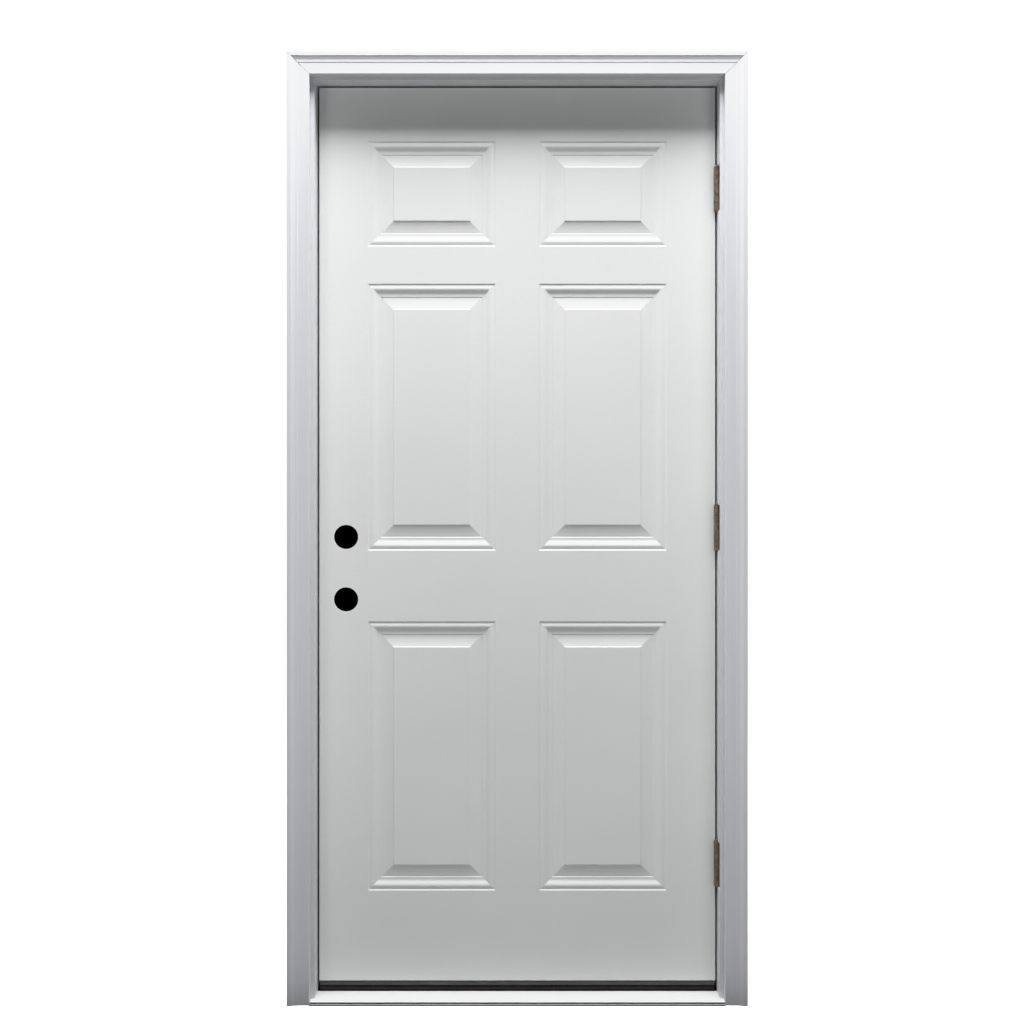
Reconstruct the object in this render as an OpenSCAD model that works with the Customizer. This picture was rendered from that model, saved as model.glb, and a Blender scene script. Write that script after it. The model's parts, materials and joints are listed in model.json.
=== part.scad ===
// Six-panel steel-skinned front door, hung in its frame.
// X runs along the wall (hinges at +X), Y runs into the building, Z is up.
// The origin is at the middle of the underside of the whole unit.

/* [Door] */
// Width of the door
door_w = 886.8; // [880:0.2:895]
// Height of the door
door_h = 1998.2; // [1990:0.2:2000]
// Thickness of the door over both skins
door_t = 44.45; // [42:0.05:46]
// Thickness of each sheet steel skin
skin_t = 0.7; // [0.5:0.1:1]
// Width of the wooden stiles and rails between the skins
stile_w = 30; // [26:1:36]
// Distance that a skin returns round the door's edge
skin_return = 9; // [6:0.5:11]
// Height of the door's bottom edge above the floor
door_z = 33.2; // [32.8:0.1:34]
// Gap between the door's edges and the jambs
door_gap = 4; // [2.6:0.1:4.4]

/* [Panels] */
// Inner edge of each panel, measured from the middle of the door
panel_in = 48.5; // [44:0.5:56]
// Outer edge of each panel, measured from the middle of the door
panel_out = 334.5; // [320:0.5:336]
// Bottom edge of the lower panels
low_z0 = 234.2; // [200:0.1:260]
// Top edge of the lower panels
low_z1 = 837.4; // [800:0.1:850]
// Bottom edge of the middle panels
mid_z0 = 995.2; // [960:0.1:1020]
// Top edge of the middle panels
mid_z1 = 1593.2; // [1560:0.1:1620]
// Bottom edge of the upper panels
top_z0 = 1675.8; // [1650:0.1:1700]
// Top edge of the upper panels
top_z1 = 1911.8; // [1900:0.1:1930]

/* [Lock holes] */
// Distance from the door's edge to the lock holes
backset = 60.3; // [60:0.1:70]
// Diameter of the lock holes
lock_d = 54; // [50:0.1:54]
// Diameter of the bolt holes in the door's edge
bolt_d = 25.4; // [22:0.1:25.4]
// Height of the upper lock hole
upper_lock_z = 1026; // [1020:0.1:1030]
// Height of the lower lock hole
lower_lock_z = 886.2; // [880:0.1:890]

/* [Hinges] */
// Height of each hinge
hinge_h = 101.6; // [95:0.1:105]
// Diameter of the hinge barrel
barrel_d = 13; // [12:0.1:14]
// Diameter of the hinge pin
pin_d = 6; // [5:0.1:7]
// Radial clearance of the pin in the door leaf's knuckles
pin_clear = 0.05; // [0.02:0.01:0.09]
// Thickness of the hinge leaves
leaf_t = 2.2; // [1.8:0.1:2.4]
// Height of the middle of the top hinge
top_hinge_z = 1803; // [1780:1:1820]
// Height of the middle of the middle hinge
mid_hinge_z = 1047; // [1030:1:1070]
// Height of the middle of the bottom hinge
low_hinge_z = 297; // [280:1:320]

/* [Frame] */
// Depth of the jambs
jamb_d = 116; // [112:1:120]
// Thickness of the jambs beside the door
jamb_t = 19.05; // [19:0.05:22]
// Thickness of the jambs at the stop
stop_t = 31.75; // [30:0.05:34]
// Depth of the stop, measured from the room side
stop_d = 18; // [16:0.5:20]
// Distance from the front edge of the jambs to the door's face
recess = 45; // [44:0.5:46]
// Width of the brickmould
mould_w = 49.2; // [46:0.1:54]
// Greatest thickness of the brickmould
mould_t = 25; // [23:0.5:32]
// Width of jamb edge left showing beside the brickmould
reveal = 8.8; // [8:0.1:9.5]
// Height of jamb edge left showing below the head brickmould
head_reveal = 7.6; // [7:0.1:9.5]

/* [Sill] */
// Height of the deck's walking surface
deck_z = 8.3; // [8:0.1:9.4]
// Thickness of the deck
deck_t = 1.6; // [1.4:0.1:1.8]
// Height of the top of the threshold cap
cap_z = 30.4; // [29.5:0.1:30.6]

/* [Hidden] */
$fn = 64;
e = 0.01;

half = door_w / 2;                       // door's edges
jx = half + door_gap;                    // jamb faces beside the door
jo = jx + jamb_t;                        // outer faces of the jambs
sx = jo - stop_t;                        // inner faces of the stops
door_top = door_z + door_h;
head_z = door_top + door_gap;            // underside of the head jamb
head_top = head_z + jamb_t;
yf = -jamb_d / 2 + mould_t / 2;          // front edge of the jambs
yr = yf + jamb_d;                        // room side of the jambs
ym = yf - mould_t;                       // front of the brickmould
ys = yr - stop_d;                        // face of the stop
y0 = yf + recess;                        // door's outer face
y1 = y0 + door_t;                        // door's inner face
yc = (y0 + y1) / 2;
mi = jx + reveal;                        // inner edge of the brickmould
mo = mi + mould_w;                       // outer edge of the brickmould
head_mi = head_z + head_reveal;
unit_h = head_mi + mould_w;
sub_z = deck_z - deck_t;                 // top of the substrate
riser_y = y0 + 3.6;                        // where the deck meets the riser
lock_x = -half + backset;
lock_r = lock_d / 2;
bolt_r = bolt_d / 2;

barrel_r = barrel_d / 2;
pin_r = pin_d / 2;
ax = half + door_gap / 2;                // hinge axis
ay = y0 - barrel_r - 0.3;
knuckle = hinge_h / 5;
leaf_y = y1 - 9.45;                      // far edge of the leaves
hinges = [low_hinge_z, mid_hinge_z, top_hinge_z];

block_x0 = -half + stile_w + skin_t;     // lock block
block_x1 = block_x0 + 75;
block_z0 = lower_lock_z - 60;
block_z1 = upper_lock_z + 60;

white = [0.87, 0.88, 0.88];
frame_white = [0.90, 0.91, 0.93];
bronze = [0.30, 0.22, 0.16];

// A box from its two corners.
module span(a, b) { translate(a) cube(b - a); }

// ---------- pressed panels ----------

// Smooth step from 0 to 1.
function ease(t) = (1 - cos(180 * t)) / 2;
// A smooth run of n steps from [s, depth] a to b, without its first point.
function run(a, b, n) = [for (i = [1:n]) [a[0] + (b[0] - a[0]) * i / n, a[1] + (b[1] - a[1]) * ease(i / n)]];
// Depth of the pressing against the distance in from the panel's edge.
press = concat([[0, 0]],
    run([0, 0], [3, 1.4], 4),            // quirk
    run([3, 1.4], [10.8, 0.4], 6),       // bead
    run([10.8, 0.4], [25.2, 4.2], 12),   // ogee
    [[29.4, 4.3], [30.3, 5], [31, 5.1]],
    [[39, 4.5], [47, 3.5], [55.6, 2]],   // bevel, hollow towards the field
    run([55.6, 2], [58.8, 0.3], 5));     // edge of the field

// Pocket that the pressing leaves, open towards -Y, for a panel from a to b in the XZ plane.
// The face lies at y = 0 and the pocket reaches forward of it by 5.
module pocket(a, b) {
    n = len(press);
    rings = concat([[0, -5]], press);
    pts = [for (r = rings) each [
        [a[0] + r[0], r[1], a[1] + r[0]], [b[0] - r[0], r[1], a[1] + r[0]],
        [b[0] - r[0], r[1], b[1] - r[0]], [a[0] + r[0], r[1], b[1] - r[0]]]];
    polyhedron(pts, concat(
        [[3, 2, 1, 0]],
        [for (i = [0:n - 1]) each [for (k = [0:3])
            [4 * i + k, 4 * i + (k + 1) % 4, 4 * (i + 1) + (k + 1) % 4, 4 * (i + 1) + k]]],
        [[4 * n, 4 * n + 1, 4 * n + 2, 4 * n + 3]]));
}
rows = [[low_z0, low_z1], [mid_z0, mid_z1], [top_z0, top_z1]];
// All six pockets, let in by d.
module pockets(d) {
    translate([0, y0 + d, 0]) for (r = rows) {
        pocket([-panel_out, r[0]], [-panel_in, r[1]]);
        pocket([panel_in, r[0]], [panel_out, r[1]]);
    }
}
// The door's inner side is the outer side turned about.
module other_side() { translate([0, 2 * yc, 0]) mirror([0, 1, 0]) children(); }

// Half-tray section of a skin, its face at y = 0.
module tray() {
    difference() {
        union() {
            translate([-half + 1.5, 0]) square([door_w - 3, 1.5]);
            translate([-half, 1.5]) square([door_w, skin_return - 1.5]);
            for (s = [-1, 1]) translate([s * (half - 1.5), 1.5]) circle(1.5);
        }
        translate([-half + 1.5, skin_t]) square([door_w - 3, 2]);
        translate([-half + skin_t, 1.5]) square([door_w - 2 * skin_t, skin_return]);
        for (s = [-1, 1]) translate([s * (half - 1.5), 1.5]) circle(1.5 - skin_t);
    }
}
module blank_skin() {
    translate([0, y0, door_z]) linear_extrude(door_h) tray();
}
module pressed_skin() {
    difference() {
        union() { blank_skin(); pockets(skin_t); }
        pockets(0);
    }
}
// Both lock holes, right through the door.
module lock_holes(r = lock_r) {
    for (z = [upper_lock_z, lower_lock_z])
        translate([lock_x, y0 - 1, z]) rotate([-90, 0, 0]) cylinder(r = r, h = door_t + 2);
}
// Bolt holes from the door's edge, and the recesses for the bolts' face plates.
module bolt_holes() {
    for (z = [upper_lock_z, lower_lock_z]) {
        translate([-half - 1, yc, z]) rotate([0, 90, 0]) cylinder(r = bolt_r, h = backset + 1);
        face_plate(-half - 1, 4.2, z, 25.4, 57.2);
    }
}
// Round-ended recess along Z, cut in the X direction.
module face_plate(x, d, z, w, h) {
    r = w / 4;
    for (s = [-1, 1], t = [-1, 1]) translate([x, yc + s * (w / 2 - r), z + t * (h / 2 - r)])
        rotate([0, 90, 0]) cylinder(r = r, h = d);
    span([x, yc - w / 2 + r, z - h / 2], [x + d, yc + w / 2 - r, z + h / 2]);
    span([x, yc - w / 2, z - h / 2 + r], [x + d, yc + w / 2, z + h / 2 - r]);
}

// ---------- hinges ----------

// Places a hinge's parts at each of the given heights, on the hinge axis.
module at_hinge(z) { translate([ax, ay, z]) children(); }
leaf_far = leaf_y - ay;
leaf_near = barrel_r + 0.6;
// Offset of the leaves from the axis.
lo = door_gap / 2;
corner_r = 6.35;
// Outline of a leaf's plate in the YZ plane, as a solid from x = 0 to t.
module plate(t, near) {
    h = hinge_h / 2;
    span([0, near, -h], [t, leaf_far - corner_r, h]);
    span([0, leaf_far - corner_r - 1, -h + corner_r], [t, leaf_far, h - corner_r]);
    for (s = [-1, 1]) translate([0, leaf_far - corner_r, s * (h - corner_r)])
        rotate([0, 90, 0]) cylinder(r = corner_r, h = t);
}
// Middles of the screw holes in a leaf, as [y, z].
screw_yz = [[17, -38], [33, -14], [33, 14], [17, 38]];
// Profile of a countersunk screw along +Z, its head's face at z = 0.
module screw(r, head_r, head_h, length) {
    rotate_extrude() polygon([[0, 0], [head_r, 0], [head_r, 0.25], [r, head_h], [r, length - 2 * r], [0, length]]);
}
module recessed_screw(r, head_r, head_h, length) {
    difference() {
        screw(r, head_r, head_h, length);
        for (a = [0, 90]) rotate([0, 0, a]) translate([-head_r * 0.55, -0.45, -e]) cube([head_r * 1.1, 0.9, 1.2]);
    }
}
// A leaf with the knuckles in the list k, counted from the bottom. s is 1 for the jamb side.
module leaf(s, k, bore_r) {
    difference() {
        union() {
            translate([s > 0 ? lo : -lo - leaf_t, 0, 0]) plate(leaf_t, leaf_near);
            for (i = k) {
                z = -hinge_h / 2 + i * knuckle;
                // the ends of each knuckle are eased
                translate([0, 0, z + 0.2]) cylinder(r = barrel_r - 1, h = knuckle - 0.4);
                translate([0, 0, z + 0.9]) cylinder(r = barrel_r, h = knuckle - 1.8);
                translate([s > 0 ? lo : -lo - leaf_t, 0, z + 0.2]) cube([leaf_t, leaf_near + 1, knuckle - 0.4]);
            }
        }
        translate([0, 0, -hinge_h]) cylinder(r = bore_r, h = 2 * hinge_h);
        for (p = screw_yz) translate([s * lo, p[0], p[1]]) rotate([0, s * 90, 0]) screw(2.2, 4.4, 2, 20);
    }
}
module jamb_leaf(z) { color(bronze) at_hinge(z) leaf(1, [0, 2, 4], pin_r); }
module door_leaf(z) { color(bronze) at_hinge(z) leaf(-1, [1, 3], pin_r + pin_clear); }
// Pin with a domed head above the barrel and a rivetted button below it.
module hinge_pin(z) {
    h = hinge_h / 2;
    color(bronze) at_hinge(z) rotate_extrude() union() {
        translate([0, -h - 0.9]) square([pin_r, hinge_h + 1.8]);
        translate([0, h - 0.1]) square([4.6, 1.1]);
        translate([0, -h - 1]) square([4.6, 1.1]);
        intersection() {
            translate([0, h + 0.9]) circle(2.7);
            translate([0, h + 0.9]) square([4, 4]);
        }
        intersection() {
            translate([0, -h - 0.9]) circle(2.4);
            translate([0, -h - 4.9]) square([4, 4]);
        }
    }
}
// Space that a hinge's barrel and pin need in the wood beside it: a notch, open to the front.
module barrel_space(z) {
    h = hinge_h / 2 + 0.6;
    at_hinge(z) {
        translate([0, 0, -h]) cylinder(r = barrel_r + 0.6, h = 2 * h);
        // a relief beside the knuckles that fades out before the jamb's front
        translate([0, 0, -h]) linear_extrude(2 * h) polygon([[-1, -34], [lo, -34], [barrel_r + 0.2, 0], [-1, 0]]);
        translate([0, 0, -h - 4]) cylinder(r = 5.2, h = 2 * h + 8);
    }
}

// ---------- frame ----------

// Section of the right jamb in the XY plane.
module jamb_section() {
    difference() {
        union() {
            translate([jx, yf]) square([jamb_t, jamb_d]);
            translate([sx, ys]) square([stop_t, stop_d]);
        }
        translate([jx - 5, ys - 1]) square([3, 11]);
    }
}
module blank_jamb() {
    difference() {
        translate([0, 0, sub_z]) linear_extrude(head_top - sub_z) jamb_section();
        span([sx - 1, yf - 1, sub_z - 1], [jo + 1, riser_y, deck_z]);
        at_right(sill_screw_at) sill_screw();
        at_right(head_screw_at) head_screw();
        mould_nail_set();
    }
}
module left_jamb() {
    color(frame_white) difference() {
        mirror([1, 0, 0]) blank_jamb();
        for (z = [upper_lock_z, lower_lock_z]) {
            translate([-jo - 1, yc, z]) rotate([0, 90, 0]) cylinder(r = bolt_r, h = jamb_t + 2);
            face_plate(-jx - 1.6, 2.6, z, 28.6, 57.2);
        }
    }
}
module right_jamb() {
    color(frame_white) difference() {
        blank_jamb();
        for (z = hinges) {
            barrel_space(z);
            at_hinge(z) translate([lo - 1, 0, 0]) plate(leaf_t + 1, 0);
            at_hinge(z) for (p = screw_yz) translate([lo, p[0], p[1]]) rotate([0, 90, 0]) screw(2.2, 4.4, 2, 18);
        }
    }
}
module head_jamb() {
    color(frame_white) difference() {
        translate([-jx, 0, 0]) rotate([90, 0, 90]) linear_extrude(2 * jx) difference() {
            union() {
                translate([yf, head_z]) square([jamb_d, jamb_t]);
                translate([ys, head_top - stop_t]) square([stop_d, stop_t]);
            }
            translate([ys - 1, head_z - 5]) square([11, 3]);
        }
        for (s = [-1, 1]) span([s > 0 ? sx : -jx - 1, ys, head_z - 20], [s > 0 ? jx + 1 : -sx, yr + 1, head_top + 1]);
        at_right(head_screw_at) head_screw();
        mirror([1, 0, 0]) at_right(head_screw_at) head_screw();
        head_nail_set();
    }
}

// Screws that hold the frame together, at points on its right-hand side.
sill_screw_at = [[jx + jamb_t / 2, yf + 18, 0], [jx + jamb_t / 2, yc - 4, 0], [jx + 4, yr - 9, 0]];
head_screw_at = [[jo, yf + 18, head_z + jamb_t / 2], [jo, yc - 6, head_z + jamb_t / 2], [jo, ys - 10, head_z + jamb_t / 2]];
module at_right(list) { for (p = list) translate(p) children(); }
module sill_screw() { screw(2.4, 4.6, 2.6, 62); }
module head_screw() { rotate([0, -90, 0]) screw(2.4, 4.6, 2.6, 62); }
module sill_screws() {
    color("silver") for (m = [0, 1]) mirror([m, 0, 0]) at_right(sill_screw_at) recessed_screw(2.4, 4.6, 2.6, 62);
}
module head_screws() {
    color("silver") for (m = [0, 1]) mirror([m, 0, 0]) at_right(head_screw_at)
        rotate([0, -90, 0]) recessed_screw(2.4, 4.6, 2.6, 62);
}
// Finishing nails through the brickmould's inner band into the jambs' front edges.
nail_z = [for (i = [0:5]) 150 + 350 * i];
nail_x = [for (i = [-2:2]) 185 * i];
nail_in = (mi + jo) / 2;
head_nail_in = (head_mi + head_top) / 2;
module nail() { rotate([-90, 0, 0]) rotate_extrude() polygon([[0, 0], [1.4, 0], [1.4, 1], [0.9, 1.4], [0.9, 50], [0, 52]]); }
module mould_nail_set() { for (z = nail_z) translate([nail_in, band_y, z]) nail(); }
module head_nail_set() { for (x = nail_x) translate([x, band_y, head_nail_in]) nail(); }
module brickmould_nails() {
    color(frame_white) {
        mould_nail_set();
        mirror([1, 0, 0]) mould_nail_set();
        head_nail_set();
    }
}

// Brickmould section: u runs from the inner edge outwards, v from the back to the front.
band_v = mould_t - 3.6;                  // thickness of the broad inner band
band_y = yf - band_v;
kerf = jo - mi;                          // from the inner edge to the jamb's outer face
function cove(a, b, n, bend) = [for (i = [0:n]) let (t = i / n)
    [a[0] + (b[0] - a[0]) * t, a[1] + (b[1] - a[1]) * ((1 - bend) * t + bend * (1 - cos(90 * t)))]];
mould_pts = concat(
    [[0, 0], [0, band_v - 1], [0.3, band_v - 0.3], [1, band_v]],
    [[mould_w - 24.2, band_v]],
    [[mould_w - 23.9, band_v + 0.5], [mould_w - 23.4, band_v + 0.7]],       // fillet
    [[mould_w - 18.4, band_v + 0.7]],
    cove([mould_w - 18.4, band_v + 0.7], [mould_w - 9.9, mould_t - 0.4], 8, 0.4),
    [[mould_w - 9.3, mould_t]],
    [[mould_w - 1.2, mould_t], [mould_w - 0.4, mould_t - 0.4], [mould_w, mould_t - 1.2]],
    // kerf in the back beside the jamb, for sealant
    [[mould_w, 0], [kerf + 3, 0], [kerf + 3, 1.5], [kerf, 1.5], [kerf, 0]]);
// A leg standing along Z on the right-hand side.
module mould_leg() {
    difference() {
        translate([mi, yf, 0]) linear_extrude(unit_h) mirror([0, 1]) polygon(mould_pts);
        // 45 degree mitre, with a hairline joint
        translate([mi, ym - 1, head_mi - 0.9]) rotate([0, -45, 0]) translate([-20, 0, 0]) cube([120, mould_t + 2, 100]);
        mould_nail_set();
    }
}
module right_brickmould() { color(frame_white) mould_leg(); }
module left_brickmould() { color(frame_white) mirror([1, 0, 0]) mould_leg(); }
module head_brickmould() {
    color(frame_white) difference() {
        translate([-mo, yf, head_mi]) rotate([90, 0, 90]) linear_extrude(2 * mo)
            mirror([1, 0]) polygon([for (p = mould_pts) [p[1], p[0]]]);
        for (m = [0, 1]) mirror([m, 0, 0])
            translate([mi, ym - 1, head_mi]) rotate([0, -45, 0]) translate([-20, 0, -100]) cube([120, mould_t + 2, 100]);
        head_nail_set();
    }
}

// ---------- sill ----------

// Deck: a thin plate with a rolled nose that hooks over the front of the substrate.
module deck_section() {
    // y runs right, z runs up
    difference() {
        union() {
            // plate with a rounded front edge, set back a little
            translate([ym + 2.4, deck_z - 1.2]) square([riser_y - ym - 2.4, 1.2]);
            translate([ym + 2.4, deck_z - 0.6]) circle(0.6);
            translate([ym + 4.6, sub_z]) square([riser_y - ym - 4.6, deck_t]);
            // lip under it, with a groove between the two
            translate([ym, 0]) square([2, 4.2]);
            translate([ym + 0.8, 4.2]) circle(0.8);
            translate([ym + 0.8, 0]) square([5, 5]);
            translate([ym + 4.2, 0]) square([1.6, deck_z - 0.4]);
        }
        translate([ym - 1, -1]) square([1.2, 1.4]);
    }
}
module deck_blank() {
    translate([-jo, 0, 0]) rotate([90, 0, 90]) linear_extrude(2 * jo) deck_section();
}
module sill_deck() {
    color([0.92, 0.92, 0.93]) difference() {
        deck_blank();
        // the nose stops short of the brickmould legs
        for (s = [-1, 1]) span([s > 0 ? mi - 0.4 : -jo - 1, ym - 1, -1], [s > 0 ? jo + 1 : -mi + 0.4, yf, deck_z + 1]);
        // low ribs for grip
        for (i = [0:3]) span([-jo - 1, ym + 12 + 14 * i, deck_z - 0.4], [jo + 1, ym + 13.2 + 14 * i, deck_z + 1]);
        for (m = [0, 1]) mirror([m, 0, 0]) at_right(sill_screw_at) sill_screw();
    }
}
module sill_substrate() {
    color([0.45, 0.36, 0.28]) difference() {
        span([-jo, ym + 5.8, 0], [jo, yr, sub_z]);
        for (s = [-1, 1]) span([s > 0 ? mi - 0.4 : -jo - 1, ym - 1, -1], [s > 0 ? jo + 1 : -mi + 0.4, yf, deck_z + 1]);
        for (m = [0, 1]) mirror([m, 0, 0]) at_right(sill_screw_at) sill_screw();
    }
}
cap_y1 = ys - 6;                          // back of the cap
cap_t = 7.5;
// The threshold's front corners are cut back from the jambs, so that water runs off its ends.
module front_corners() {
    for (s = [-1, 1]) span([s > 0 ? half - 1.7 : -jx - 1, y0 - 1, deck_z], [s > 0 ? jx + 1 : -half + 1.7, y0 + 14, cap_z + 1]);
}
// Riser: a solid bar with a trough for the cap and a lip along its front.
module threshold_riser() {
    color([0.22, 0.18, 0.15]) difference() {
        union() {
            span([-jx, riser_y, sub_z], [jx, ys, cap_z - cap_t]);
            span([-jx, y0 + 1.6, 13.9], [jx, riser_y + 1, 18.4]);
            span([-sx, ys - 1, sub_z], [sx, yr, cap_z - 1.4]);
            span([-jx, cap_y1 + 0.6, cap_z - cap_t - 1], [jx, ys, cap_z - 1.4]);
        }
        front_corners();
        for (x = cap_screw_x) translate([x, (y0 + cap_y1) / 2, cap_z - 2]) mirror([0, 0, 1]) cap_screw();
    }
}
// Cap: a bar with a ribbed front edge that overhangs the riser.
module threshold_cap() {
    color(bronze) difference() {
        translate([-jx + 0.5, 0, 0]) rotate([90, 0, 90]) linear_extrude(2 * jx - 1) union() {
            translate([y0 + 1, cap_z - cap_t]) square([cap_y1 - y0 - 1, cap_t]);
            translate([y0 + 0.2, cap_z - cap_t + 0.8]) square([4, cap_t - 1.6]);
            translate([y0 + 1, cap_z - 0.8]) circle(0.8);
            translate([y0 + 1, cap_z - cap_t + 0.8]) circle(0.8);
        }
        front_corners();
        // grooves along the walking surface
        for (i = [0:4]) span([-jx, y0 + 8 + 7.4 * i, cap_z - 0.6], [jx, y0 + 10 + 7.4 * i, cap_z + 1]);
        for (x = cap_screw_x) translate([x, (y0 + cap_y1) / 2, cap_z - 2]) {
            mirror([0, 0, 1]) cap_screw();
            cylinder(r = 4.4, h = 5);
        }
    }
}
cap_screw_x = [-390, -130, 130, 390];
module cap_screw() { screw(2.2, 4.4, 2.4, 16); }
module threshold_cap_screws() {
    color(bronze) for (x = cap_screw_x) translate([x, (y0 + cap_y1) / 2, cap_z - 2])
        mirror([0, 0, 1]) recessed_screw(2.2, 4.4, 2.4, 16);
}

// ---------- seals ----------

seal_y = y1 + 0.35;
// Section of a compression seal: u runs away from the jamb, v from the stop's face to the door.
module seal_bulb() {
    v = ys - seal_y;
    union() {
        translate([0.5, 0]) square([10.6, v - 3]);
        translate([3.5, 0]) square([4.6, v]);
        translate([3.5, v - 3]) circle(3);
        translate([8.1, v - 3]) circle(3);
    }
}
module seal_barb() { translate([2.1, -9]) square([2.8, 9.5]); }
module seal_section() { union() { seal_bulb(); seal_barb(); } }
module side_seal() {
    translate([jx, ys, 90]) linear_extrude(head_z - 90.2) mirror([1, 0]) mirror([0, 1]) seal_section();
}
module right_weatherstrip() { color([0.16, 0.13, 0.12]) side_seal(); }
module left_weatherstrip() { color([0.16, 0.13, 0.12]) mirror([1, 0, 0]) side_seal(); }
module head_weatherstrip() {
    color([0.16, 0.13, 0.12]) union() {
        head_run(jx - 11.4) seal_bulb();
        head_run(sx - 0.2) seal_barb();
    }
}
// Runs a seal section along the head jamb, x to each side of the middle.
module head_run(x) {
    translate([-x, ys, head_z]) rotate([90, 0, 90]) linear_extrude(2 * x)
        mirror([1, 0]) mirror([0, 1]) mirror([1, -1]) children();
}
module corner_pad() {
    difference() {
        span([jx - 11.1, seal_y, cap_z + 0.6], [jx - 0.5, ys, 89.5]);
        translate([jx - 11.1, seal_y, 20]) rotate([0, 0, 45]) cube([3, 3, 200], center = true);
    }
}
module right_corner_pad() { color([0.12, 0.12, 0.12]) corner_pad(); }
module left_corner_pad() { color([0.12, 0.12, 0.12]) mirror([1, 0, 0]) corner_pad(); }

// ---------- hinge nodes ----------

module top_jamb_leaf() { jamb_leaf(top_hinge_z); }
module middle_jamb_leaf() { jamb_leaf(mid_hinge_z); }
module bottom_jamb_leaf() { jamb_leaf(low_hinge_z); }
module top_door_leaf() { door_leaf(top_hinge_z); }
module middle_door_leaf() { door_leaf(mid_hinge_z); }
module bottom_door_leaf() { door_leaf(low_hinge_z); }
module top_hinge_pin() { hinge_pin(top_hinge_z); }
module middle_hinge_pin() { hinge_pin(mid_hinge_z); }
module bottom_hinge_pin() { hinge_pin(low_hinge_z); }
module jamb_leaf_screws() {
    color(bronze) for (z = hinges) at_hinge(z) for (p = screw_yz)
        translate([lo, p[0], p[1]]) rotate([0, 90, 0]) recessed_screw(2.2, 4.4, 2, 18);
}
module door_leaf_screws() {
    color(bronze) for (z = hinges) at_hinge(z) for (p = screw_yz)
        translate([-lo, p[0], p[1]]) rotate([0, -90, 0]) recessed_screw(2.2, 4.4, 2, 25);
}

// ---------- door ----------

module outer_skin() {
    color(white) difference() {
        pressed_skin();
        lock_holes();
        for (z = hinges) at_hinge(z) span([-lo - leaf_t, 0, -hinge_h / 2], [lo, 20, hinge_h / 2]);
    }
}
module inner_skin() {
    color(white) difference() {
        other_side() pressed_skin();
        lock_holes();
    }
}
// Stile section between the skins, standing proud where it shows between their returns.
module stile() {
    translate([0, 0, door_z]) linear_extrude(door_h) union() {
        translate([half - skin_t - stile_w, y0 + skin_t]) square([stile_w - 0.9, door_t - 2 * skin_t]);
        translate([half - skin_t - 1, y0 + 1.6]) square([1, door_t - 3.2]);
        translate([half - skin_t - 1, y0 + skin_return]) square([skin_t + 1, door_t - 2 * skin_return]);
    }
}
module lock_stile() {
    color([0.75, 0.6, 0.4]) difference() {
        mirror([1, 0, 0]) stile();
        bolt_holes();
    }
}
module hinge_stile() {
    color([0.75, 0.6, 0.4]) difference() {
        stile();
        for (z = hinges) at_hinge(z) {
            translate([-lo - leaf_t, 0, 0]) plate(leaf_t + 1, 0);
            for (p = screw_yz) translate([-lo, p[0], p[1]]) rotate([0, -90, 0]) screw(2.2, 4.4, 2, 25);
        }
    }
}
rail_x = half - skin_t - stile_w;
module rail(z) { span([-rail_x, y0 + skin_t, z], [rail_x, y1 - skin_t, z + stile_w]); }
module top_rail() { color([0.75, 0.6, 0.4]) rail(door_top - stile_w); }
// Slots for the sweep's two barbs.
sweep_y = [y0 + 12, y0 + 32];
module bottom_rail() {
    color([0.75, 0.6, 0.4]) difference() {
        rail(door_z);
        for (y = sweep_y) span([-rail_x - 1, y, door_z - 1], [rail_x + 1, y + 3, door_z + 11]);
    }
}
module lock_block() {
    color([0.75, 0.6, 0.4]) difference() {
        span([block_x0, y0 + skin_t, block_z0], [block_x1, y1 - skin_t, block_z1]);
        lock_holes();
        bolt_holes();
    }
}
module foam_core() {
    color([0.93, 0.87, 0.68]) difference() {
        span([-rail_x, y0 + skin_t, door_z + stile_w], [rail_x, y1 - skin_t, door_top - stile_w]);
        pockets(skin_t);
        other_side() pockets(skin_t);
        span([block_x0 - 1, y0 - 1, block_z0], [block_x1, y1 + 1, block_z1]);
    }
}
module door_sweep() {
    color([0.08, 0.08, 0.08]) union() {
        span([-half + 2, y0 + 5, door_z - 1.4], [half - 2, y1 - 3, door_z]);
        for (y = sweep_y) {
            span([-rail_x + 1, y + 0.2, door_z - e], [rail_x - 1, y + 2.8, door_z + 10]);
        }
        for (y = [y0 + 7, y0 + 17, y0 + 27, y0 + 37]) span([-half + 2, y, cap_z + 0.6], [half - 2, y + 1.4, door_z - 1.3]);
    }
}

left_jamb();
right_jamb();
head_jamb();
left_brickmould();
right_brickmould();
head_brickmould();
sill_deck();
sill_substrate();
threshold_riser();
threshold_cap();
threshold_cap_screws();
left_weatherstrip();
right_weatherstrip();
head_weatherstrip();
left_corner_pad();
right_corner_pad();
top_jamb_leaf();
middle_jamb_leaf();
bottom_jamb_leaf();
top_hinge_pin();
middle_hinge_pin();
bottom_hinge_pin();
jamb_leaf_screws();
sill_screws();
head_screws();
brickmould_nails();
outer_skin();
inner_skin();
lock_stile();
hinge_stile();
top_rail();
bottom_rail();
lock_block();
foam_core();
top_door_leaf();
middle_door_leaf();
bottom_door_leaf();
door_leaf_screws();
door_sweep();
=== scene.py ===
"""Looks for the panelled front door with its frame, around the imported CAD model. Everything is in metres, in the row frame."""
import json
import math

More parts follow.
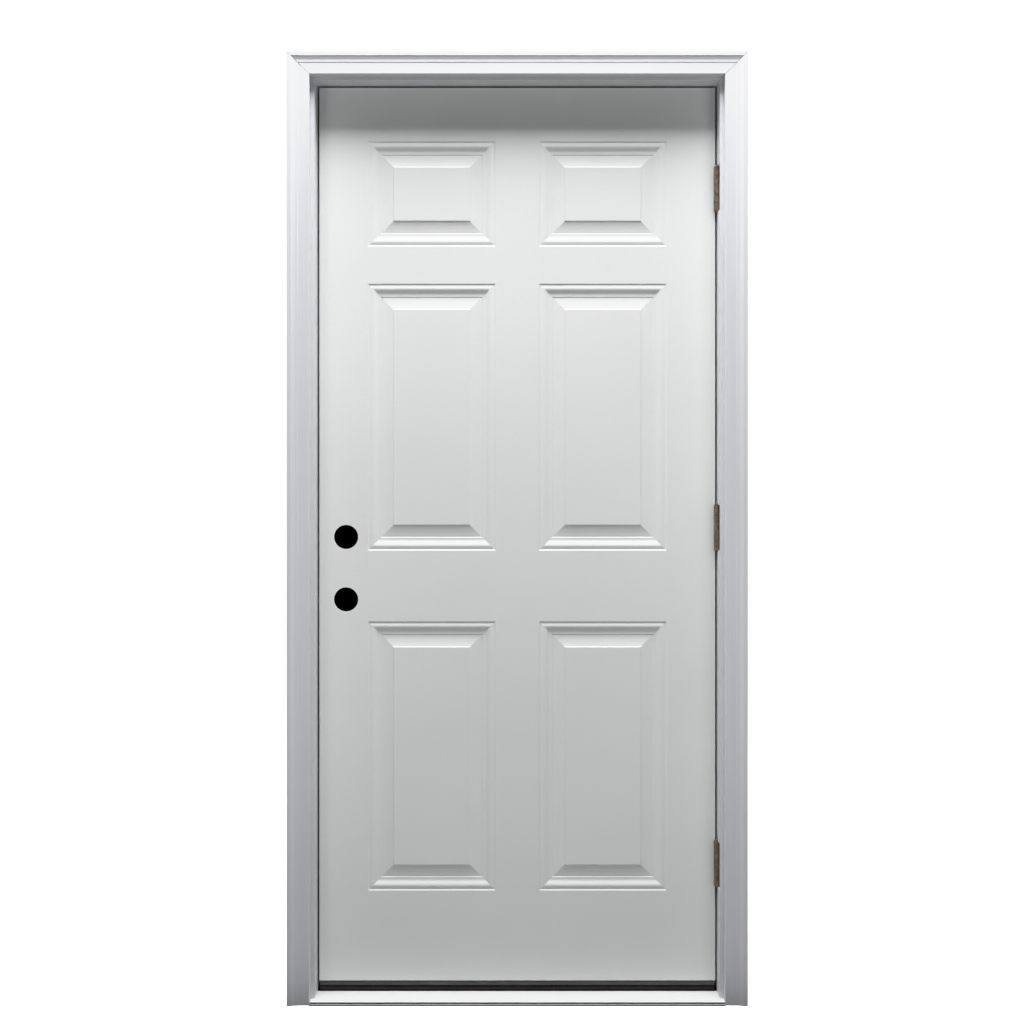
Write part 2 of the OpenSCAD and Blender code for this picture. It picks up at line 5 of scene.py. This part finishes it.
import bmesh
import bpy
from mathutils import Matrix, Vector

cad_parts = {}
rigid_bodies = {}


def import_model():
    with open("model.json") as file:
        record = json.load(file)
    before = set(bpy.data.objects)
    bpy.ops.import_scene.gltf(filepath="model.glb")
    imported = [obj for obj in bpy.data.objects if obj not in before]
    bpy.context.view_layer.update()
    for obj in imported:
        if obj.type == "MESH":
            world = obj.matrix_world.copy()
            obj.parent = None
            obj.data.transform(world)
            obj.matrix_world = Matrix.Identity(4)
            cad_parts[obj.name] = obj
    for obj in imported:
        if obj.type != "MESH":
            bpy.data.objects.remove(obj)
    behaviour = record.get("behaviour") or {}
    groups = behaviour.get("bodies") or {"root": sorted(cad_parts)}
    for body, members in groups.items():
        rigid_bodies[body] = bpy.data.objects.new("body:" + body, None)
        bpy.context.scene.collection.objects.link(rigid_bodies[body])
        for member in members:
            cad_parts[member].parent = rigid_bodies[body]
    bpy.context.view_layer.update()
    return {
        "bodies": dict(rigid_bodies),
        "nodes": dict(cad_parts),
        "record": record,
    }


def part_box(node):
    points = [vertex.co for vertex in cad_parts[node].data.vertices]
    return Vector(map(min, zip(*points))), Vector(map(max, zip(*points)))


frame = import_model()
nodes = frame["nodes"]
scene = bpy.context.scene


# ---------- node helpers ----------

class Paint:
    """A material with one Principled shader, and short calls for the nodes that feed it."""

    def __init__(self, name, colour, roughness, metallic=0.0, **sockets):
        self.material = bpy.data.materials.new(name)
        self.material.use_nodes = True
        self.tree = self.material.node_tree
        self.tree.nodes.clear()
        out = self.tree.nodes.new("ShaderNodeOutputMaterial")
        self.shader = self.tree.nodes.new("ShaderNodeBsdfPrincipled")
        self.tree.links.new(self.shader.outputs[0], out.inputs[0])
        self.put(self.shader.inputs["Base Color"], colour)
        self.put(self.shader.inputs["Roughness"], roughness)
        self.put(self.shader.inputs["Metallic"], metallic)
        for key, value in sockets.items():
            self.put(self.shader.inputs[key.replace("_", " ")], value)
        coord = self.tree.nodes.new("ShaderNodeTexCoord")
        self.point = coord.outputs["Object"]
        self.normal = coord.outputs["Normal"]
        split = self.node("SeparateXYZ", Vector=self.point)
        self.x, self.y, self.z = split.outputs

    def put(self, socket, value):
        if isinstance(value, bpy.types.NodeSocket):
            self.tree.links.new(value, socket)
        elif socket.type == "RGBA" and not hasattr(value, "__len__"):
            socket.default_value = (value, value, value, 1)
        elif socket.type == "RGBA":
            socket.default_value = (*value, 1) if len(value) == 3 else value
        else:
            socket.default_value = value

    def node(self, kind, settings=None, **inputs):
        n = self.tree.nodes.new("ShaderNode" + kind)
        for key, value in (settings or {}).items():
            setattr(n, key, value)
        for key, value in inputs.items():
            self.put(n.inputs[key], value)
        return n

    def math(self, operation, a, b=0.0, c=0.0):
        n = self.node("Math", {"operation": operation})
        for socket, value in zip(n.inputs, (a, b, c)):
            self.put(socket, value)
        return n.outputs[0]

    def noise(self, scale, detail=2.0, rough=0.5, shift=(0, 0, 0), distortion=0.0):
        """Noise from 0 to 1. scale is waves a metre along X, Y and Z."""
        scale = scale if hasattr(scale, "__len__") else (scale,) * 3
        place = self.node("Mapping", Vector=self.point, Scale=scale, Location=shift)
        return self.node("TexNoise", Vector=place.outputs[0], Scale=1.0, Detail=detail,
                         Roughness=rough, Distortion=distortion).outputs[0]

    def span(self, value, a, b, c=0.0, d=1.0, smooth=True):
        """value carried from a..b to c..d, held at both ends."""
        n = self.node("MapRange", {"interpolation_type": "SMOOTHSTEP" if smooth else "LINEAR"})
        for socket, v in zip(n.inputs, (value, a, b, c, d)):
            self.put(socket, v)
        return n.outputs[0]

    def mix(self, share, a, b):
        n = self.node("Mix", {"data_type": "RGBA", "clamp_factor": True})
        self.put(n.inputs[0], share)
        self.put(n.inputs[6], a)
        self.put(n.inputs[7], b)
        return n.outputs[2]

    def tint(self, colour, low, high, value):
        """colour times a number from low to high as value goes from 0 to 1."""
        return self.mix(value, [c * low for c in colour], [c * high for c in colour])

    def colour(self, value):
        self.put(self.shader.inputs["Base Color"], value)

    def rough(self, value):
        self.put(self.shader.inputs["Roughness"], value)

    def bump(self, height, distance, strength=1.0):
        last = getattr(self, "last_bump", None)
        n = self.node("Bump", Height=height, Distance=distance, Strength=strength)
        if last is not None:
            self.put(n.inputs["Normal"], last)
        self.last_bump = n.outputs[0]
        self.put(self.shader.inputs["Normal"], self.last_bump)


def dress(names, paint):
    """Gives these CAD nodes this material."""
    for name in names:
        for slot in nodes[name].material_slots:
            slot.material = paint.material


# ---------- painted steel and painted wood ----------

def skin_paint():
    base = (0.84, 0.853, 0.845)
    p = Paint("skin_paint", base, 0.36, Specular_IOR_Level=0.36)
    broad = p.noise(2.3, 3.0)
    fine = p.noise(170.0, 3.0, shift=(5, 2, 1))
    tone = p.math("ADD", p.math("MULTIPLY", broad, 0.7), p.math("MULTIPLY", fine, 0.3))
    p.colour(p.tint(base, 0.975, 1.02, p.span(tone, 0.3, 0.7)))
    p.rough(p.span(p.noise(26.0, 4.0, shift=(1, 7, 3)), 0.3, 0.7, 0.32, 0.42))
    # orange peel of the sprayed finish, over the faint waviness of pressed sheet
    p.bump(p.noise(7.0, 1.0, shift=(3, 1, 9)), 0.0009, 0.35)
    p.bump(p.noise(520.0, 2.0, shift=(9, 4, 2)), 0.00005, 0.5)
    return p


def pine(p, along):
    """Colour and grain height of bare finger-jointed pine, with the grain along Z or X."""
    if along == "z":
        run, across = p.z, p.y
        streak = p.noise((90, 90, 2.2), 5.0, 0.6, distortion=0.4)
        pore = p.noise((900, 900, 16), 3.0, 0.6)
    else:
        run, across = p.x, p.y
        streak = p.noise((2.2, 90, 90), 5.0, 0.6, distortion=0.4)
        pore = p.noise((16, 900, 900), 3.0, 0.6)
    # the blocks meet in zigzag fingers
    fingers = p.math("PINGPONG", across, 0.0032)
    place = p.math("MULTIPLY", p.math("ADD", run, p.math("MULTIPLY", fingers, 3.4)), 2.7)
    block = p.math("FLOOR", place)
    part = p.math("FRACT", place)
    wide = p.node("TexWhiteNoise", {"noise_dimensions": "1D"}, W=block).outputs["Value"]
    light, dark = (0.66, 0.47, 0.27), (0.47, 0.29, 0.14)
    grain = p.mix(p.span(streak, 0.32, 0.72), light, dark)
    grain = p.mix(p.math("MULTIPLY", wide, 0.35), grain, (0.56, 0.40, 0.22))
    seam = p.math("MULTIPLY", p.span(part, 0.0, 0.006, 1.0, 0.0, False), 0.55)
    grain = p.mix(seam, grain, (0.2, 0.11, 0.05))
    return grain, pore


def wood_paint(name, base, along, bare):
    """Painted wood. bare is a call that gives 1 where the wood was left unpainted."""
    p = Paint(name, base, 0.42, Specular_IOR_Level=0.34)
    scale = (380, 380, 7) if along == "z" else (7, 380, 380)
    slow = (60, 60, 1.5) if along == "z" else (1.5, 60, 60)
    grain = p.noise(scale, 4.0, 0.6)
    wave = p.noise(slow, 3.0, shift=(2, 5, 1))
    tone = p.math("ADD", p.math("MULTIPLY", grain, 0.45), p.math("MULTIPLY", wave, 0.55))
    paint = p.tint(base, 0.965, 1.02, p.span(tone, 0.3, 0.7))
    # painted shade: the frame is greyed towards the bottom, where the light falls off
    low_painted_shade = p.math("MULTIPLY", p.span(p.z, 0.0, 0.7, 1.0, 0.0), p.span(wave, 0.25, 0.75, 0.16, 0.26))
    paint = p.mix(low_painted_shade, paint, (0.42, 0.42, 0.44))
    wood, pore = pine(p, along)
    where = bare(p)
    # painted shade: bare wood that faces up is darkened to hold back the strong light from above
    up_facing_painted_shade = p.math("GREATER_THAN", p.node("SeparateXYZ", Vector=p.normal).outputs[2], 0.9)
    wood = p.mix(p.math("MULTIPLY", up_facing_painted_shade, 0.72), wood, (0.085, 0.07, 0.055))
    p.colour(p.mix(where, paint, wood))
    gloss = p.span(p.noise(30.0, 3.0, shift=(4, 4, 4)), 0.3, 0.7, 0.38, 0.5)
    p.rough(p.math("ADD", gloss, p.math("MULTIPLY", where, 0.3)))
    p.bump(wave, 0.0004, 0.4)
    p.bump(grain, 0.00009, 0.6)
    p.bump(p.math("MULTIPLY", pore, where), 0.0002, 0.8)
    return p


jamb_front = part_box("right_jamb")[0].y
jamb_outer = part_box("right_jamb")[1].x
jamb_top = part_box("head_jamb")[1].z


def behind_jamb(p):
    side = p.math("GREATER_THAN", p.math("ABSOLUTE", p.x), jamb_outer - 0.0001)
    top = p.math("GREATER_THAN", p.z, jamb_top - 0.0001)
    return p.math("MAXIMUM", side, top)


def behind_mould(p):
    return p.math("GREATER_THAN", p.y, jamb_front - 0.0001)


frame_white = (0.755, 0.767, 0.797)
dress(["left_jamb", "right_jamb"], wood_paint("jamb_paint_upright", frame_white, "z", behind_jamb))
dress(["head_jamb"], wood_paint("jamb_paint_head", frame_white, "x", behind_jamb))
dress(["left_brickmould", "right_brickmould"], wood_paint("mould_paint_upright", frame_white, "z", behind_mould))
dress(["head_brickmould"], wood_paint("mould_paint_head", frame_white, "x", behind_mould))
dress(["outer_skin", "inner_skin"], skin_paint())


def nail_paint():
    p = Paint("nail_paint", frame_white, 0.45)
    p.colour(p.tint(frame_white, 0.93, 1.0, p.noise(400.0, 2.0)))
    p.bump(p.noise(900.0, 2.0), 0.00005, 0.5)
    return p


dress(["brickmould_nails"], nail_paint())


# ---------- bare wood, foam and the solid sill ----------

def bare_wood(name, along):
    p = Paint(name, (0.6, 0.42, 0.24), 0.7)
    wood, pore = pine(p, along)
    p.colour(wood)
    p.rough(p.span(pore, 0.3, 0.7, 0.6, 0.8))
    p.bump(pore, 0.0002, 0.8)
    return p


dress(["lock_stile", "hinge_stile", "lock_block"], bare_wood("bare_wood_upright", "z"))
dress(["top_rail", "bottom_rail"], bare_wood("bare_wood_level", "x"))


def foam():
    p = Paint("foam", (0.86, 0.76, 0.5), 0.9)
    cells = p.node("TexVoronoi", {"feature": "F1"}, Vector=p.point, Scale=900.0).outputs["Distance"]
    p.colour(p.tint((0.86, 0.76, 0.5), 0.85, 1.05, p.noise(60.0, 4.0)))
    p.bump(cells, 0.0004, 0.8)
    return p


dress(["foam_core"], foam())


def substrate():
    p = Paint("substrate", (0.19, 0.13, 0.09), 0.75)
    chips = p.node("TexVoronoi", {"feature": "F1"}, Vector=p.point, Scale=260.0)
    cloud = p.noise((22, 60, 60), 5.0, 0.65)
    shade = p.math("ADD", p.math("MULTIPLY", cloud, 0.7), p.math("MULTIPLY", chips.outputs["Distance"], 0.5))
    p.colour(p.mix(p.span(shade, 0.3, 0.8), (0.14, 0.092, 0.06), (0.31, 0.22, 0.15)))
    p.bump(p.noise(500.0, 4.0), 0.00025, 0.6)
    return p


dress(["sill_substrate"], substrate())


def riser():
    p = Paint("riser", (0.012, 0.009, 0.007), 0.55, Specular_IOR_Level=0.25)
    streak = p.noise((14, 300, 300), 4.0)
    # painted shade: outside its lip band the riser is painted near black, for the shade under the cap and in the joint
    # at the deck
    shade_free_lip = p.math("MULTIPLY", p.math("GREATER_THAN", p.z, 0.0138), p.math("LESS_THAN", p.z, 0.0186))
    brown = p.mix(p.span(streak, 0.3, 0.75), (0.020, 0.013, 0.0085), (0.036, 0.025, 0.016))
    p.colour(p.mix(shade_free_lip, (0.0025, 0.002, 0.002), brown))
    p.rough(p.span(p.noise(90.0, 3.0), 0.3, 0.7, 0.48, 0.62))
    p.bump(streak, 0.00012, 0.5)
    return p


dress(["threshold_riser"], riser())


# ---------- metals ----------

def deck_metal():
    base = (0.79, 0.795, 0.80)
    p = Paint("deck_metal", base, 0.5, 0.1)
    lines = p.noise((9, 900, 900), 3.0, 0.6)
    wear = p.noise((5, 26, 26), 5.0, 0.65, shift=(3, 8, 2))
    tone = p.math("ADD", p.math("MULTIPLY", lines, 0.5), p.math("MULTIPLY", wear, 0.5))
    plate = p.tint(base, 0.95, 1.02, p.span(tone, 0.32, 0.68))
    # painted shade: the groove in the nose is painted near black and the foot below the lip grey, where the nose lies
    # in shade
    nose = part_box("sill_deck")[0].y
    front = p.math("MULTIPLY", p.math("GREATER_THAN", p.y, nose + 0.0005), p.math("LESS_THAN", p.y, nose + 0.0046))
    groove_painted_shade = p.math("MULTIPLY", p.math("GREATER_THAN", p.z, 0.0048), p.math("LESS_THAN", p.z, 0.0081))
    groove_painted_shade = p.math("MULTIPLY", groove_painted_shade, front)
    foot_painted_shade = p.math("MULTIPLY", p.span(p.z, 0.0030, 0.0037, 1.0, 0.0), 0.9)
    plate = p.mix(foot_painted_shade, plate, (0.27, 0.27, 0.275))
    p.colour(p.mix(groove_painted_shade, plate, (0.004, 0.004, 0.004)))
    p.rough(p.math("ADD", p.span(lines, 0.3, 0.7, 0.42, 0.58), p.math("MULTIPLY", groove_painted_shade, 0.35)))
    p.bump(lines, 0.00006, 0.5)
    return p


dress(["sill_deck"], deck_metal())


def cap_bronze():
    base = (0.066, 0.064, 0.064)
    p = Paint("cap_bronze", base, 0.42, 0.3)
    lines = p.noise((12, 1100, 1100), 3.0, 0.6)
    wear = p.noise((11, 50, 50), 5.0, 0.7, shift=(1, 6, 4))
    p.colour(p.mix(p.span(wear, 0.42, 0.8), p.tint(base, 0.85, 1.15, lines), (0.125, 0.118, 0.114)))
    p.rough(p.span(lines, 0.3, 0.7, 0.34, 0.5))
    p.bump(lines, 0.00006, 0.6)
    return p


dress(["threshold_cap"], cap_bronze())


def hinge_bronze(name, shine=0.36):
    dark, olive, copper = (0.12, 0.092, 0.068), (0.25, 0.235, 0.19), (0.36, 0.185, 0.105)
    p = Paint(name, dark, shine, 0.4)
    side = p.node("SeparateXYZ", Vector=p.normal).outputs[0]
    cloud = p.noise((160, 160, 75), 5.0, 0.65)
    fine = p.noise(1300.0, 3.0, 0.6, shift=(7, 1, 5))
    # painted reflection: the barrel is greyed on the side facing the door and coppered on the side facing the jamb, as
    # its reflections fall, with a cloudy edge between
    side_reflection_share = p.span(p.math("ADD", side, p.math("MULTIPLY", p.math("SUBTRACT", cloud, 0.5), 0.5)), -0.35, 0.35)
    painted_side_reflection = p.mix(side_reflection_share, olive, copper)
    p.colour(p.mix(p.span(p.math("ADD", p.math("MULTIPLY", cloud, 0.65), p.math("MULTIPLY", fine, 0.35)), 0.38, 0.58), dark, painted_side_reflection))
    p.rough(p.span(cloud, 0.3, 0.7, shine, shine + 0.16))
    p.bump(fine, 0.00004, 0.6)
    return p


hinges = [n for n in nodes if n.endswith("_leaf")]
dress(hinges, hinge_bronze("hinge_bronze"))
dress([n for n in nodes if n.endswith("_pin")], hinge_bronze("pin_bronze", 0.3))


def screw_metal(name, base, metallic, rust):
    p = Paint(name, base, 0.35, metallic)
    cloud = p.noise(500.0, 4.0, 0.6)
    p.colour(p.mix(p.span(cloud, 0.45, 0.8), base, rust))
    p.rough(p.span(cloud, 0.3, 0.7, 0.28, 0.45))
    p.bump(p.noise(1800.0, 2.0), 0.00003, 0.6)
    return p


dress(["threshold_cap_screws", "jamb_leaf_screws", "door_leaf_screws"],
      screw_metal("bronze_screw", (0.075, 0.052, 0.038), 0.6, (0.16, 0.10, 0.06)))
dress(["sill_screws", "head_screws"], screw_metal("zinc_screw", (0.62, 0.59, 0.47), 0.95, (0.44, 0.42, 0.36)))


# ---------- seals ----------

def rubber(name, base, rough, along):
    p = Paint(name, base, rough)
    scale = {"z": (700, 700, 20), "x": (20, 700, 700)}[along]
    lines = p.noise(scale, 3.0)
    p.colour(p.tint(base, 0.8, 1.35, p.span(p.noise(35.0, 4.0), 0.3, 0.7)))
    p.rough(p.span(lines, 0.3, 0.7, rough - 0.06, rough + 0.1))
    p.bump(lines, 0.00012, 0.6)
    return p


dress(["left_weatherstrip", "right_weatherstrip"], rubber("seal_upright", (0.020, 0.016, 0.014), 0.55, "z"))
dress(["head_weatherstrip"], rubber("seal_head", (0.020, 0.016, 0.014), 0.55, "x"))
dress(["door_sweep"], rubber("sweep", (0.010, 0.010, 0.010), 0.5, "x"))


def pad():
    p = Paint("pad", (0.018, 0.018, 0.018), 0.9)
    cells = p.node("TexVoronoi", {"feature": "F1"}, Vector=p.point, Scale=1400.0).outputs["Distance"]
    p.colour(p.tint((0.018, 0.018, 0.018), 0.7, 1.4, cells))
    p.bump(cells, 0.0003, 0.8)
    return p


dress(["left_corner_pad", "right_corner_pad"], pad())


# ---------- stage ----------

def stage_material(name):
    m = bpy.data.materials.new(name)
    m.use_nodes = True
    m.node_tree.nodes.clear()
    return m, m.node_tree.nodes, m.node_tree.links


def floor():
    bm = bmesh.new()
    bmesh.ops.create_grid(bm, x_segments=1, y_segments=1, size=9.0)
    mesh = bpy.data.meshes.new("floor")
    bm.to_mesh(mesh)
    bm.free()
    o = bpy.data.objects.new("floor", mesh)
    scene.collection.objects.link(o)
    m, n, link = stage_material("floor")
    out, add = n.new("ShaderNodeOutputMaterial"), n.new("ShaderNodeAddShader")
    glow, matt = n.new("ShaderNodeEmission"), n.new("ShaderNodeBsdfDiffuse")
    glow.inputs["Strength"].default_value = 1.6
    matt.inputs["Color"].default_value = (0.8, 0.8, 0.8, 1)
    link.new(glow.outputs[0], add.inputs[0])
    link.new(matt.outputs[0], add.inputs[1])
    link.new(add.outputs[0], out.inputs[0])
    mesh.materials.append(m)
    o.visible_diffuse = o.visible_glossy = False


def painted_shade_in_holes():
    """A black one-sided card in each lock hole is painted shade, standing for a dark room behind the door; it shows
    from outside only.
    """
    m, n, link = stage_material("hole_painted_shade")
    out, pick = n.new("ShaderNodeOutputMaterial"), n.new("ShaderNodeMixShader")
    dark, clear, side = n.new("ShaderNodeEmission"), n.new("ShaderNodeBsdfTransparent"), n.new("ShaderNodeNewGeometry")
    dark.inputs["Color"].default_value = (0, 0, 0, 1)
    link.new(side.outputs["Backfacing"], pick.inputs[0])
    link.new(dark.outputs[0], pick.inputs[1])
    link.new(clear.outputs[0], pick.inputs[2])
    link.new(pick.outputs[0], out.inputs[0])
    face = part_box("outer_skin")[0].y
    at = {mount["name"]: mount["pos_m"] for mount in frame["record"]["mounts"]}
    bm = bmesh.new()
    for hole in ("deadbolt_bore", "lockset_bore"):
        x, _, z = at[hole]
        ring = [bm.verts.new((x + 0.0272 * math.cos(a), face + 0.0011, z + 0.0272 * math.sin(a)))
                for a in (math.tau * i / 64 for i in range(64))]
        bm.faces.new(ring)
    bm.normal_update()
    for f in bm.faces:
        if f.normal.y > 0:
            f.normal_flip()
    mesh = bpy.data.meshes.new("hole_painted_shade")
    bm.to_mesh(mesh)
    bm.free()
    mesh.materials.append(m)
    o = bpy.data.objects.new("hole_painted_shade", mesh)
    scene.collection.objects.link(o)
    o.parent = frame["bodies"]["door"]
    o.visible_diffuse = o.visible_glossy = o.visible_transmission = o.visible_shadow = False


floor()
painted_shade_in_holes()


# ---------- light and camera ----------

def softbox(name, place, target, width, height, watts, colour=(1, 1, 1)):
    data = bpy.data.lights.new(name, "AREA")
    data.shape, data.size, data.size_y = "RECTANGLE", width, height
    data.energy, data.color = watts, colour
    o = bpy.data.objects.new(name, data)
    scene.collection.objects.link(o)
    o.location = place
    o.rotation_euler = (Vector(target) - Vector(place)).to_track_quat("-Z", "Y").to_euler()
    o.visible_camera = False
    return o


softbox("overhead", (0, -0.8055, 4.05), (0, -0.8055, 0), 2.43, 1.12, 205)
softbox("left", (-2.0, -3.2, 1.9), (0, 0, 1.2), 0.8, 1.3, 8.2)
softbox("right", (2.0, -3.2, 1.9), (0, 0, 1.2), 0.9, 1.3, 9.4)
softbox("bounce", (0, -1.6, 0.02), (0, -1.6, 3.0), 3.0, 1.6, 14)
softbox("low", (0, -0.3, 0.004), (0, -0.3, 1), 1.5, 0.3, 0.65)
softbox("behind", (0, 3.4, 2.4), (0, 0, 1.0), 3.0, 2.4, 90)
for name, x in (("side_left", -3.2), ("side_right", 3.2)):
    softbox(name, (x, 0.7, 1.4), (0, 0, 1.05), 1.4, 2.2, 42)

world = bpy.data.worlds.new("studio")
scene.world = world
world.use_nodes = True
w, wl = world.node_tree.nodes, world.node_tree.links
w.clear()
w_out, w_mix, path = w.new("ShaderNodeOutputWorld"), w.new("ShaderNodeMixShader"), w.new("ShaderNodeLightPath")
seen, around = w.new("ShaderNodeBackground"), w.new("ShaderNodeBackground")
seen.inputs["Color"].default_value = (1, 1, 1, 1)
seen.inputs["Strength"].default_value = 1.6
around.inputs["Color"].default_value = (0.97, 0.985, 1.0, 1)
around.inputs["Strength"].default_value = 0.02
wl.new(path.outputs["Is Camera Ray"], w_mix.inputs[0])
wl.new(around.outputs[0], w_mix.inputs[1])
wl.new(seen.outputs[0], w_mix.inputs[2])
wl.new(w_mix.outputs[0], w_out.inputs[0])

eye = bpy.data.cameras.new("camera")
eye.sensor_width = 36.0
eye.lens = 49.89
eye.shift_x, eye.shift_y = -0.00513, -0.01172
eye.clip_start = 0.05
camera = bpy.data.objects.new("camera", eye)
scene.collection.objects.link(camera)
camera.location = (0.0, -3.1775, 1.1087)
camera.rotation_euler = (math.radians(90), 0, 0)
scene.camera = camera
scene.view_settings.view_transform = "Standard"

# a soft shoulder, so that brightly lit bevels keep their shape below paper white
scene.view_settings.use_curve_mapping = True
tone = scene.view_settings.curve_mapping
tone.white_level = (1.6, 1.6, 1.6)
shoulder = tone.curves[3].points
shoulder[1].location = (1.0, 1.0)
for light, shown in ((0.82, 0.82), (0.9, 0.872), (1.0, 0.912), (1.2, 0.952), (1.4, 0.98)):
    shoulder.new(light / 1.6, shown)
for point in shoulder:
    point.handle_type = "VECTOR"
tone.update()
